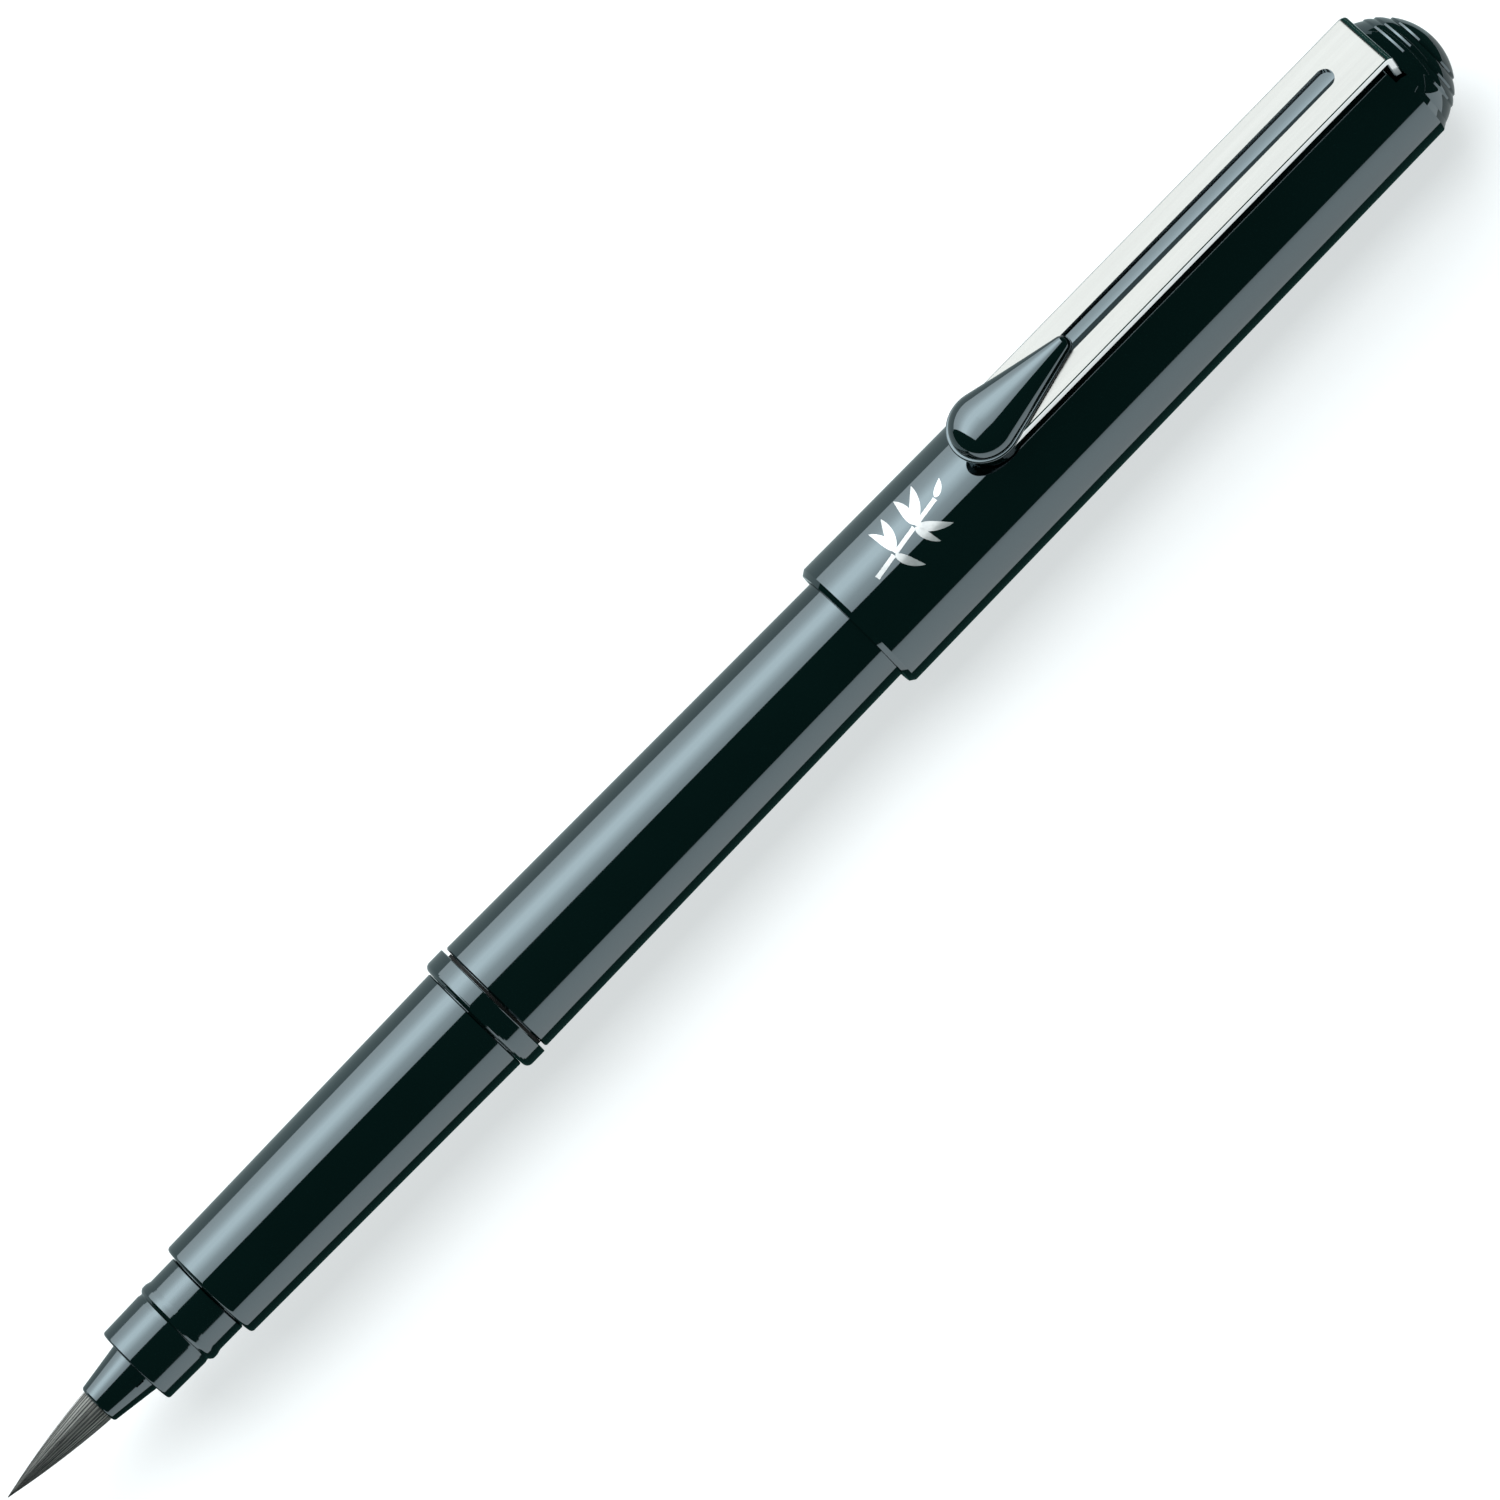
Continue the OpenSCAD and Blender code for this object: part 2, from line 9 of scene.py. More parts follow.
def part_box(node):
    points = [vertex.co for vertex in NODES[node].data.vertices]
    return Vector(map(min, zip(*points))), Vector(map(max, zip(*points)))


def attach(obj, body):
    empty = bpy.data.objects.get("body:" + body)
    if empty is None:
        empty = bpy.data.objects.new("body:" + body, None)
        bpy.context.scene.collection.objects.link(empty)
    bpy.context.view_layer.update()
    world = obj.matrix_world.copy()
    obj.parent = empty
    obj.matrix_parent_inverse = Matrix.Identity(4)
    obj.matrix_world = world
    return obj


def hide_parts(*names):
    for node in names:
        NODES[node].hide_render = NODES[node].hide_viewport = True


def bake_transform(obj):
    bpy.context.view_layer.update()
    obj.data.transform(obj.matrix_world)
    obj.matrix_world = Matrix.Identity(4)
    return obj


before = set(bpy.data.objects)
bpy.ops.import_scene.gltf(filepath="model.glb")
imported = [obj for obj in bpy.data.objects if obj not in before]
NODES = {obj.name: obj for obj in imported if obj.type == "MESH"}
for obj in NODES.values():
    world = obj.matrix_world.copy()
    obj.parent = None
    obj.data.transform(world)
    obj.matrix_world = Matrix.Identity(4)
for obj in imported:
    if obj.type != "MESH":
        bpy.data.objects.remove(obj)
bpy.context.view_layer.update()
MM = 0.001

# ---------------------------------------------------------------- places, in mm from the tip
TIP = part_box("tuft_tip")[0].x
AXIS = sum(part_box("barrel_tube")[k].z for k in (0, 1)) / 2


def place(x, y=0.0, z=0.0):
    """A point x mm from the brush tip, y across and z above the pen's axis."""
    return Vector((TIP + x * MM, y * MM, AXIS + z * MM))


def span(node):
    """Where a CAD piece starts and ends, in mm from the tip."""
    lo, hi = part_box(node)
    return (lo.x - TIP) / MM, (hi.x - TIP) / MM


def radius(node):
    """The largest radius of a round CAD piece, in mm."""
    lo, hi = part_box(node)
    return (hi.y - lo.y) / 2 / MM


def height(node):
    """A CAD piece's lowest and highest point above the axis, in mm."""
    lo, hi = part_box(node)
    return (lo.z - AXIS) / MM, (hi.z - AXIS) / MM


# ---------------------------------------------------------------- meshes
def add_mesh(name, verts, faces, smooth=True):
    mesh = bpy.data.meshes.new(name)
    mesh.from_pydata([tuple(v) for v in verts], [], faces)
    mesh.validate()
    mesh.update()
    if smooth:
        mesh.polygons.foreach_set("use_smooth", [True] * len(mesh.polygons))
    obj = bpy.data.objects.new(name, mesh)
    bpy.context.scene.collection.objects.link(obj)
    return obj


LONG_EDGE, SUPPORT, MAX_STEP = 0.5, 0.05, 6


def rounded(outline, steps=5):
    """Turns corners (r, x, fillet) into arcs, with support points beside them on the longer edges."""
    pts, n = [], len(outline)
    for i, (r, x, f) in enumerate(outline):
        p = np.array([r, x], float)
        if f <= 0:
            pts.append(p)
            continue
        a = np.array(outline[(i - 1) % n][:2], float) - p
        b = np.array(outline[(i + 1) % n][:2], float) - p
        la, lb = np.linalg.norm(a), np.linalg.norm(b)
        a, b = a / la, b / lb
        turn = math.acos(max(-1, min(1, float(a @ b))))
        cut = min(f / math.tan(turn / 2), la * 0.48, lb * 0.48)
        real = cut * math.tan(turn / 2)
        mid = (a + b) / np.linalg.norm(a + b)
        centre = p + mid * (real / math.sin(turn / 2))
        s, e = p + a * cut - centre, p + b * cut - centre
        sweep = math.pi - turn
        for k in range(steps + 1):
            t = k / steps
            q = (math.sin((1 - t) * sweep) * s + math.sin(t * sweep) * e) / math.sin(sweep)
            pts.append(centre + q)
    out = []
    for i, p in enumerate(pts):
        q = pts[(i + 1) % len(pts)]
        out.append(p)
        d = np.linalg.norm(q - p)
        if d > LONG_EDGE:
            parts = max(1, int(d / MAX_STEP))
            out.append(p + (q - p) * SUPPORT / d)
            for k in range(1, parts):
                out.append(p + (q - p) * k / parts)
            out.append(q - (q - p) * SUPPORT / d)
    return out


def turned(name, outline, segments=160, steps=5):
    """A body of revolution about the pen's axis. Corners are (radius, distance from the tip, fillet)."""
    verts, rows = [], []
    for r, x in rounded(outline, steps):
        if r < 1e-4:
            rows.append([len(verts)] * segments)
            verts.append(place(x))
            continue
        rows.append(list(range(len(verts), len(verts) + segments)))
        for k in range(segments):
            a = 2 * math.pi * k / segments
            verts.append(place(x, r * math.sin(a), r * math.cos(a)))
    faces = []
    for i, p in enumerate(rows):
        q = rows[(i + 1) % len(rows)]
        for k in range(segments):
            j = (k + 1) % segments
            quad = [p[k], q[k], q[j], p[j]]
            face = [v for n, v in enumerate(quad) if v != quad[n - 1]]
            if len(set(face)) > 2:
                faces.append(face)
    return add_mesh(name, verts, faces)


# ---------------------------------------------------------------- materials
GRAIN = 0.00001  # depth of the surface grain, in metres


def material(name):
    mat = bpy.data.materials.new(name)
    mat.use_nodes = True
    nt = mat.node_tree
    return mat, nt, nt.nodes["Principled BSDF"]


def node(nt, kind, **values):
    made = nt.nodes.new(kind)
    for key, value in values.items():
        if key in made.inputs:
            made.inputs[key].default_value = value
        else:
            setattr(made, key, value)
    return made


def stretched(nt, scale):
    """Object coordinates stretched by a scale for each axis."""
    coord = nt.nodes.new("ShaderNodeTexCoord")
    mapping = nt.nodes.new("ShaderNodeMapping")
    mapping.inputs["Scale"].default_value = scale
    nt.links.new(coord.outputs["Object"], mapping.inputs["Vector"])
    return mapping.outputs["Vector"]


def noise(nt, scale, stretch=(1, 1, 1), detail=3.0, rough=0.5):
    tex = node(nt, "ShaderNodeTexNoise", Scale=scale, Detail=detail, Roughness=rough)
    nt.links.new(stretched(nt, stretch), tex.inputs["Vector"])
    return tex.outputs["Fac"]


def ramp(nt, fac, low, high, a, b):
    """Blends colour a into colour b while fac goes from low to high."""
    made = nt.nodes.new("ShaderNodeValToRGB")
    made.color_ramp.elements[0].position = low
    made.color_ramp.elements[0].color = a
    made.color_ramp.elements[1].position = high
    made.color_ramp.elements[1].color = b
    nt.links.new(fac, made.inputs["Fac"])
    return made.outputs["Color"]


def grey(v):
    return (v, v, v, 1)


def bump(nt, bsdf, fac, strength, distance):
    made = node(nt, "ShaderNodeBump", Strength=strength, Distance=distance)
    nt.links.new(fac, made.inputs["Height"])
    nt.links.new(made.outputs["Normal"], bsdf.inputs["Normal"])


def gloss_plastic(name, dark, light, rough, ripple=0.1):
    """Moulded plastic: a faint cloud in the colour, uneven polish and fine hairline wear."""
    mat, nt, bsdf = material(name)
    nt.links.new(ramp(nt, noise(nt, 90), 0.35, 0.7, dark, light), bsdf.inputs["Base Color"])
    wear = noise(nt, 260, (0.25, 1, 1), 5.0, 0.6)
    nt.links.new(ramp(nt, wear, 0.42, 0.8, grey(rough), grey(rough * 2.2)), bsdf.inputs["Roughness"])
    bsdf.inputs["IOR"].default_value = 1.8
    bsdf.inputs["Specular IOR Level"].default_value = 0.8
    bsdf.inputs["Specular Tint"].default_value = (0.76, 0.93, 1.0, 1)
    bump(nt, bsdf, noise(nt, 700, (0.5, 1, 1), 2.0), ripple, GRAIN)
    return mat


def metal(name, dark, light, rough, streak=(0.05, 1, 1), scale=1500, strength=0.15, metallic=1.0):
    """Plated or drawn metal with fine streaks along the pen."""
    mat, nt, bsdf = material(name)
    lines = noise(nt, scale, streak, 4.0, 0.6)
    nt.links.new(ramp(nt, lines, 0.3, 0.75, dark, light), bsdf.inputs["Base Color"])
    nt.links.new(ramp(nt, lines, 0.3, 0.8, grey(rough * 0.8), grey(rough * 1.3)), bsdf.inputs["Roughness"])
    bsdf.inputs["Metallic"].default_value = metallic
    bump(nt, bsdf, lines, strength, GRAIN)
    return mat


def clip_material():
    """Chrome plating: polished bends and edges, and a face brushed along the strap. The base colour carries
    painted shade and painted highlight: the face that points up is painted dark, the bends and edges light.
    """
    mat, nt, bsdf = material("clip_chrome")
    coord = nt.nodes.new("ShaderNodeTexCoord")
    split = nt.nodes.new("ShaderNodeSeparateXYZ")
    nt.links.new(coord.outputs["Normal"], split.inputs[0])
    face = node(nt, "ShaderNodeMapRange")
    face.inputs["From Min"].default_value = 0.86
    face.inputs["From Max"].default_value = 0.94
    nt.links.new(split.outputs["Z"], face.inputs["Value"])
    # painted shade and painted highlight: where the object-space normal points up (the strap's face) the base
    # colour drops from 0.78 to 0.255, so the face reads darker and the bends and edges lighter
    tone = ramp(nt, face.outputs["Result"], 0.0, 1.0, (0.78, 0.8, 0.8, 1), (0.255, 0.253, 0.241, 1))
    lines = noise(nt, 1700, (0.03, 1, 1), 4.0, 0.6)
    mix = node(nt, "ShaderNodeMix", data_type="RGBA", blend_type="MULTIPLY")
    mix.inputs["Factor"].default_value = 1.0
    nt.links.new(tone, mix.inputs["A"])
    nt.links.new(ramp(nt, lines, 0.3, 0.75, grey(0.93), grey(1.0)), mix.inputs["B"])
    nt.links.new(mix.outputs["Result"], bsdf.inputs["Base Color"])
    nt.links.new(ramp(nt, face.outputs["Result"], 0.0, 1.0, grey(0.05), grey(0.22)), bsdf.inputs["Roughness"])
    bsdf.inputs["Metallic"].default_value = 1.0
    bump(nt, bsdf, lines, 0.06, GRAIN)
    return mat


def soft_plastic(name, dark, light, rough, transmission=0.0):
    """Satin or translucent moulding with a fine grain."""
    mat, nt, bsdf = material(name)
    nt.links.new(ramp(nt, noise(nt, 300), 0.3, 0.75, dark, light), bsdf.inputs["Base Color"])
    nt.links.new(ramp(nt, noise(nt, 900), 0.3, 0.8, grey(rough), grey(rough * 1.4)), bsdf.inputs["Roughness"])
    bsdf.inputs["Transmission Weight"].default_value = transmission
    bump(nt, bsdf, noise(nt, 2500), 0.15, GRAIN)
    return mat


BLACK = gloss_plastic("black_gloss", (0.0004, 0.002, 0.0018, 1), (0.0009, 0.0036, 0.0032, 1), 0.035)
BLACK_SATIN = gloss_plastic("black_moulded", (0.0005, 0.0022, 0.002, 1), (0.001, 0.004, 0.0036, 1), 0.06,
                            ripple=0.2)
CHROME = clip_material()
STEEL = metal("steel", (0.42, 0.43, 0.44, 1), (0.62, 0.63, 0.64, 1), 0.22)
BRASS = metal("brass", (0.6, 0.45, 0.2, 1), (0.75, 0.6, 0.3, 1), 0.25)
FEED = soft_plastic("feed_black", (0.006, 0.008, 0.008, 1), (0.016, 0.019, 0.019, 1), 0.32)
PLUG = soft_plastic("plug_black", (0.005, 0.008, 0.008, 1), (0.012, 0.016, 0.016, 1), 0.22)
LINER = soft_plastic("liner_grey", (0.16, 0.18, 0.19, 1), (0.24, 0.26, 0.27, 1), 0.38)
RUBBER = soft_plastic("seal_rubber", (0.004, 0.004, 0.004, 1), (0.012, 0.012, 0.012, 1), 0.6)
RESIN = soft_plastic("tuft_resin", (0.16, 0.14, 0.1, 1), (0.34, 0.3, 0.22, 1), 0.4)
WICK = soft_plastic("wick_fibre", (0.04, 0.045, 0.045, 1), (0.2, 0.2, 0.19, 1), 0.75)
CARTRIDGE = soft_plastic("cartridge_clear", (0.34, 0.4, 0.4, 1), (0.5, 0.56, 0.56, 1), 0.12,
                         transmission=0.75)


def bristle_material():
    """Ink-wet hair: fine streaks over the tone that each hair carries."""
    mat, nt, bsdf = material("bristle")
    hair = noise(nt, 5200, (0.02, 1, 1), 2.0, 0.6)
    ink = node(nt, "ShaderNodeAttribute", attribute_name="tone")
    both = node(nt, "ShaderNodeMath", operation="MULTIPLY_ADD")
    both.inputs[1].default_value = 0.35
    nt.links.new(hair, both.inputs[0])
    nt.links.new(ink.outputs["Fac"], both.inputs[2])
    tone = ramp(nt, both.outputs[0], 0.2, 1.1, (0.005, 0.007, 0.0065, 1), (0.4, 0.4, 0.37, 1))
    nt.links.new(tone, bsdf.inputs["Base Color"])
    nt.links.new(ramp(nt, hair, 0.3, 0.7, grey(0.28), grey(0.42)), bsdf.inputs["Roughness"])
    return mat


BRISTLE = bristle_material()


def paint(obj, mat):
    obj.data.materials.clear()
    obj.data.materials.append(mat)
    return obj


# ---------------------------------------------------------------- outer shells
def show(obj, body, mat, slot, *nodes):
    """Gives a piece its material and body, and takes the place of the CAD nodes named. The slot argument is
    not used.
    """
    paint(obj, mat)
    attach(obj, body)
    if nodes:
        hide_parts(*nodes)
    return obj


# grip section: front edge, taper to the ring, and the two hollows with a wall between them
g0, g1 = span("grip_section")
gr = radius("grip_section")
GRIP_FRONT_R = 4.83
shell = turned("grip_shell", [
    (3.85, g0, 0.1), (GRIP_FRONT_R, g0, 0.33), (gr, g1 - 0.1, 0.08), (gr - 0.1, g1, 0.04),
    (4.32, g1, 0.05), (4.32, 39.0, 0.05), (3.4, 38.0, 0.1), (1.0, 38.0, 0.1), (1.0, 34.4, 0.1),
    (3.65, 34.4, 0.1), (3.65, g0 + 0.25, 0.05)])
show(shell, "section", BLACK, "black_plastic", "grip_section")

# tip holder: front drum, hollow waist, snap bead, rear drum, stem
h0, h1 = span("tip_holder")
shell = turned("holder_shell", [
    (2.42, h0, 0.05), (3.76, h0, 0.22), (3.83, h0 + 4.15, 0.25), (3.74, h0 + 4.5, 0.2), (3.9, h0 + 4.62, 0.1),
    (4.07, h0 + 4.85, 0.25), (4.07, h0 + 5.3, 0.3), (3.94, h0 + 5.75, 0.3), (3.95, h0 + 8.35, 0.12),
    (3.6, h0 + 8.38, 0.05), (3.6, h1 - 0.4, 0.1), (3.2, h1, 0.1), (2.2, h1, 0.05), (2.2, h0 + 4.3, 0.05),
    (2.42, h0 + 4.3, 0.05)])
show(shell, "brush_head", BLACK_SATIN, "black_plastic", "tip_holder")

# finial: a dome with three round lips under a smooth crown
f0, f1 = span("finial")
DOME_R, SEAM_R = 5.81, 5.597
LIPS, LIP_W = (5.04, 4.52, 3.54), 0.19
CROWN_STEPS = 24
dome_x = f1 - DOME_R
seam = dome_x + math.sqrt(DOME_R ** 2 - SEAM_R ** 2)


def ring_of_dome(a0, a1, sink, steps=8):
    """One ring of the dome, from angle a0 off the axis to a1: it sinks gently below the sphere."""
    pts = []
    for k in range(steps + 1):
        t = k / steps
        a = math.radians(a0 + (a1 - a0) * t)
        rho = DOME_R - sink * t ** 1.6
        pts.append((rho * math.sin(a), dome_x + rho * math.cos(a), 0.0))
    return pts


start = math.degrees(math.acos((seam - dome_x) / DOME_R))
dome = [(0.0, seam, 0), (SEAM_R, seam, 0.03)]
a0 = start - 0.4
for lip_r in LIPS:
    lip = math.degrees(math.asin(lip_r / DOME_R))
    lip_x = DOME_R * math.cos(math.radians(lip))
    ring = ring_of_dome(a0, math.degrees(math.atan2(lip_r, lip_x - LIP_W)),
                        DOME_R - math.hypot(lip_r, lip_x - LIP_W))
    ring[-1] = (*ring[-1][:2], 0.02)
    dome += ring + [(lip_r, dome_x + lip_x, 0.03)]
    a0 = lip - 1.2
for k in range(CROWN_STEPS):
    a = math.radians(a0 * (1 - k / CROWN_STEPS))
    dome.append((DOME_R * math.sin(a), dome_x + DOME_R * math.cos(a), 0.0))
dome.append((0.0, dome_x + DOME_R, 0.0))
shell = turned("finial_dome", dome, segments=192, steps=3)
plug = turned("finial_spigot", [
    (1.56, f0, 0.05), (3.25, f0, 0.15), (3.25, seam + 0.05, 0.02), (1.56, seam + 0.05, 0.02)], segments=96)
show(shell, "cap", BLACK, "black_plastic", "finial")
show(plug, "cap", BLACK_SATIN, "black_plastic")


# knob: an inflated teardrop with a thin rim where it meets the strap
def teardrop_ring(wide, narrow, length, n):
    """Outline points with the medial centre each one belongs to."""
    lean = math.asin((wide - narrow) / length)
    pts = []
    a0, a1 = math.pi / 2 - lean, 3 * math.pi / 2 + lean
    arc_w = [a0 + (a1 - a0) * k / n for k in range(n + 1)]
    arc_n = [a1 + (a0 + 2 * math.pi - a1) * k / (n // 2) for k in range(n // 2 + 1)]
    flank = [k / 10 for k in range(1, 10)]
    for a in arc_w:
        pts.append(((wide * math.cos(a), wide * math.sin(a)), 0.0))
    for t in flank:
        c, r = length * t, wide + (narrow - wide) * t
        pts.append(((c + r * math.cos(a1), r * math.sin(a1)), c))
    for a in arc_n:
        pts.append(((length + narrow * math.cos(a), narrow * math.sin(a)), length))
    for t in reversed(flank):
        c, r = length * t, wide + (narrow - wide) * t
        pts.append(((c + r * math.cos(a0), r * math.sin(a0)), c))
    return pts


k0, k1 = span("knob_top")
kz0, kz1 = height("knob_top")
WIDE, NARROW = 3.25, 0.85
knob_c, knob_len = k0 + WIDE, (k1 - NARROW) - (k0 + WIDE)
ring_pts = teardrop_ring(WIDE, NARROW, knob_len, 56)
INSET, RIM, DROP = 0.915, 0.3, 0.55
DOME_STEPS = 22
# each level is (share of the outline, height in mm, share of the dome's rise)
levels = [(share, z, 0.0) for share, z in (
    (0.0, 0.0), (0.975, 0.0), (1.0, 0.03), (1.0, 0.2), (0.99, 0.25), (0.965, 0.28), (0.93, 0.285),
    (INSET - 0.004, 0.275), (INSET, RIM))]
for k in range(1, DOME_STEPS):
    a = math.pi / 2 * k / DOME_STEPS
    levels.append((INSET * math.cos(a), RIM, math.sin(a) ** 0.97))
levels.append((0.0, RIM, 1.0))
verts, faces = [], []
count = len(ring_pts)
for share, z, up_share in levels:
    for (x, y), c in ring_pts:
        rise = (kz1 - kz0 - RIM) * (1 - DROP * (c / knob_len) ** 1.1)
        verts.append(place(knob_c + c + (x - c) * share, y * share, kz0 + (z + rise * up_share)))
for i in range(len(levels) - 1):
    for k in range(count):
        j = (k + 1) % count
        faces.append([count * i + k, count * i + j, count * (i + 1) + j, count * (i + 1) + k])
knob = add_mesh("knob_dome", verts, faces)
show(knob, "clip", BLACK, "black_plastic", "knob_top")

# ---------------------------------------------------------------- bristles
rng = random.Random(7)
TUFT_LEN, TUFT_R, ROOT_X = 10.5, 1.47, 12.4
HAIRS, OUTER_HAIRS, STRAY_HAIRS, CORE_SIDES = 760, 430, 26, 72


def tuft_radius(x):
    """Radius of the tuft x mm from its point."""
    u = max(0.0, min(1.0, x / TUFT_LEN))
    return TUFT_R * u * (1.44 - 0.44 * u)


def inked(x, tone):
    """The tone of a hair x mm from the point: the ink darkens it towards the point."""
    return tone * (0.22 + 0.78 * min(1.0, max(0.0, x) / 9.5) ** 1.3)


def filament(x_end, rho, phi, thick, sway, tone, steps=15, sides=5):
    """One tapered hair, from inside the nose cone to its own end near the point."""
    base = len(hair_v)
    for k in range(steps + 1):
        t = k / steps
        x = ROOT_X + (x_end - ROOT_X) * t ** 0.9
        r = rho * tuft_radius(x)
        wob = sway[0] * math.sin(3.1 * t + sway[1]) * t * (1 - 0.55 * t)
        cy = r * math.sin(phi + wob)
        cz = r * math.cos(phi + wob)
        width = thick * (1 - 0.82 * t ** 2.2)
        for s in range(sides):
            a = 2 * math.pi * s / sides + phi
            hair_v.append(place(x, cy + width * math.sin(a), cz + width * math.cos(a)))
            hair_t.append(inked(x, tone))
    for k in range(steps):
        for s in range(sides):
            j = (s + 1) % sides
            p = base + k * sides
            hair_f.append([p + s, p + j, p + sides + j, p + sides + s])
    tip = base + steps * sides
    hair_f.append([tip + s for s in range(sides)])


hair_v, hair_f, hair_t = [], [], []
CLUMP_N = 62
CLUMPS = [rng.uniform(0.03, 0.2) if n % 2 else rng.uniform(0.45, 1.0) for n in range(CLUMP_N)]


def clump_tone(phi):
    """Hairs lie in wet clumps of one tone, with a little of their own."""
    return min(1.0, CLUMPS[int(phi / (2 * math.pi) * CLUMP_N) % CLUMP_N] * rng.uniform(0.65, 1.25))


for n in range(HAIRS):
    outer = n < OUTER_HAIRS
    rho = 0.955 + 0.035 * rng.random() if outer else 0.86 + 0.1 * rng.random()
    reach = 0.15 + 5.2 * rng.random() ** 2.6 if outer else 0.4 + 3.5 * rng.random()
    phi = rng.uniform(0, 2 * math.pi)
    filament(reach, rho, phi, rng.uniform(0.028, 0.046),
             (rng.uniform(-0.07, 0.07), rng.uniform(0, 6)), clump_tone(phi))
for n in range(STRAY_HAIRS):
    filament(rng.uniform(0.5, 4.5), rng.uniform(1.0, 1.06), rng.uniform(0, 2 * math.pi),
             rng.uniform(0.018, 0.026), (rng.uniform(-0.18, 0.18), rng.uniform(0, 6)),
             0.5 + 0.5 * rng.random())
# the wet core under the hairs
core_x = [ROOT_X, 11.0, 10.0, 9.0, 8.0, 7.0, 6.0, 5.0, 4.0, 3.0, 2.2, 1.5, 0.9, 0.4, 0.12]
base = len(hair_v)
for x in core_x:
    for s in range(CORE_SIDES):
        a = 2 * math.pi * s / CORE_SIDES
        r = tuft_radius(x) * (0.93 + 0.022 * math.sin(17 * a + 0.6 * x) + 0.015 * math.sin(29 * a - 0.4 * x))
        hair_v.append(place(x, r * math.sin(a), r * math.cos(a)))
        hair_t.append(inked(x, 0.12))
for k in range(len(core_x) - 1):
    for s in range(CORE_SIDES):
        j = (s + 1) % CORE_SIDES
        p = base + CORE_SIDES * k
        hair_f.append([p + s, p + j, p + CORE_SIDES + j, p + CORE_SIDES + s])
hair_f.append([base + CORE_SIDES * (len(core_x) - 1) + s for s in range(CORE_SIDES)])
hair_f.append([base + s for s in reversed(range(CORE_SIDES))])
bristles = paint(add_mesh("bristle_tuft", hair_v, hair_f), BRISTLE)
bristles.data.attributes.new("tone", "FLOAT", "POINT").data.foreach_set("value", hair_t)
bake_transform(bristles)
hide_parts("tuft_tip", "bristle_root")

# ---------------------------------------------------------------- foil motif on the cap
CAP_TOP_R, CAP_MOUTH_LEN, CAP_TOP_LEN = 5.93, 1.3, 0.55
FOIL_X, FOIL_A, FOIL_LIFT = 106.6, -4.0, 0.012
STROKE = (-1, -0.5, 0, 0.5, 1)
foil_v, foil_f = [], []


def cap_radius(x):
    """Radius of the cap's taper x mm from the tip."""
    x0, x1 = span("cap_tube")
    mouth_r = radius("cap_tube")
    along = (x - x0 - CAP_MOUTH_LEN) / (x1 - x0 - CAP_MOUTH_LEN - CAP_TOP_LEN)
    return mouth_r + (CAP_TOP_R - mouth_r) * along


def foil_strip(points, widths):
    """A brush stroke: centre-line points (along, round) in mm and half widths, laid on the cap."""
    base = len(foil_v)
    n = len(points)
    for i, (u, v) in enumerate(points):
        pu, pv = points[max(0, i - 1)]
        qu, qv = points[min(n - 1, i + 1)]
        du, dv = qu - pu, qv - pv
        d = math.hypot(du, dv) or 1
        nu, nv = -dv / d, du / d
        for s in STROKE:
            a, b = u + nu * widths[i] * s, v + nv * widths[i] * s
            x = FOIL_X + a
            r = cap_radius(x) + FOIL_LIFT
            ang = math.radians(FOIL_A) + b / r
            foil_v.append(place(x, r * math.sin(ang), r * math.cos(ang)))
    for i in range(n - 1):
        for s in range(len(STROKE) - 1):
            p = base + len(STROKE) * i + s
            foil_f.append([p, p + len(STROKE), p + len(STROKE) + 1, p + 1])


def leaf(u, v, angle, length, width, curl=0.25, n=18):
    """A pointed leaf from (u, v), angle in degrees from the cap's length."""
    pts, ws = [], []
    for i in range(n + 1):
        t = i / n
        a = math.radians(angle) + curl * (t - 0.5)
        pts.append((u + length * t * math.cos(a), v + length * t * math.sin(a)))
        ws.append(width * math.sin(math.pi * t ** 0.72) ** 0.85 + 0.015)
    foil_strip(pts, ws)


def stalk(u, v, angle, length, width, n=10):
    """One joint of the stalk, a little thicker at its ends."""
    cos_a, sin_a = math.cos(math.radians(angle)), math.sin(math.radians(angle))
    pts = [(u + length * i / n * cos_a, v + length * i / n * sin_a) for i in range(n + 1)]
    foil_strip(pts, [width * (1.18 if i in (0, n) else 1.0) for i in range(n + 1)])


for u, length in ((-4.0, 2.3), (-1.55, 2.6), (1.2, 2.7)):
    stalk(u, -0.3 + 0.16 * u, 9, length, 0.2)
for u, v, ang, ln, w in (
        (-1.55, -0.4, 62, 3.4, 0.42), (-1.45, -0.4, 92, 3.0, 0.36), (-1.6, -0.6, -72, 2.6, 0.36),
        (1.25, 0.05, 48, 3.6, 0.46), (1.15, 0.05, 78, 3.2, 0.4), (1.3, -0.15, -50, 3.0, 0.4),
        (1.1, -0.2, -82, 2.4, 0.32), (3.95, 0.4, 30, 1.7, 0.3)):
    leaf(u, v, ang, ln, w)
foil = add_mesh("foil_leaves", foil_v, foil_f)
FOIL = metal("silver_foil", (0.55, 0.56, 0.56, 1), (0.8, 0.81, 0.8, 1), 0.22, streak=(1, 1, 1), scale=900,
             strength=0.3, metallic=0.45)
show(foil, "cap", FOIL, "clip_chrome")

# ---------------------------------------------------------------- finishes of the CAD pieces
FINISH = {
    "tuft_tip": BRISTLE, "bristle_root": BRISTLE, "tuft_base": RESIN, "nose_cone": BLACK_SATIN,
    "tip_holder": BLACK_SATIN, "feed_comb": FEED, "ink_wick": WICK, "grip_section": BLACK,
    "joint_ring": BLACK, "joint_washer": RUBBER, "piercing_tube": STEEL, "cartridge_tube": CARTRIDGE,
    "cartridge_ball": STEEL, "barrel_tube": BLACK, "tail_plug": PLUG, "cap_tube": BLACK,
    "inner_cap": LINER, "finial": BLACK, "finial_screw": STEEL, "clip_strap": CHROME,
    "knob_top": BLACK, "knob_base": BLACK, "knob_rivet": BRASS,
}
for name, mat in FINISH.items():
    paint(NODES[name], mat)

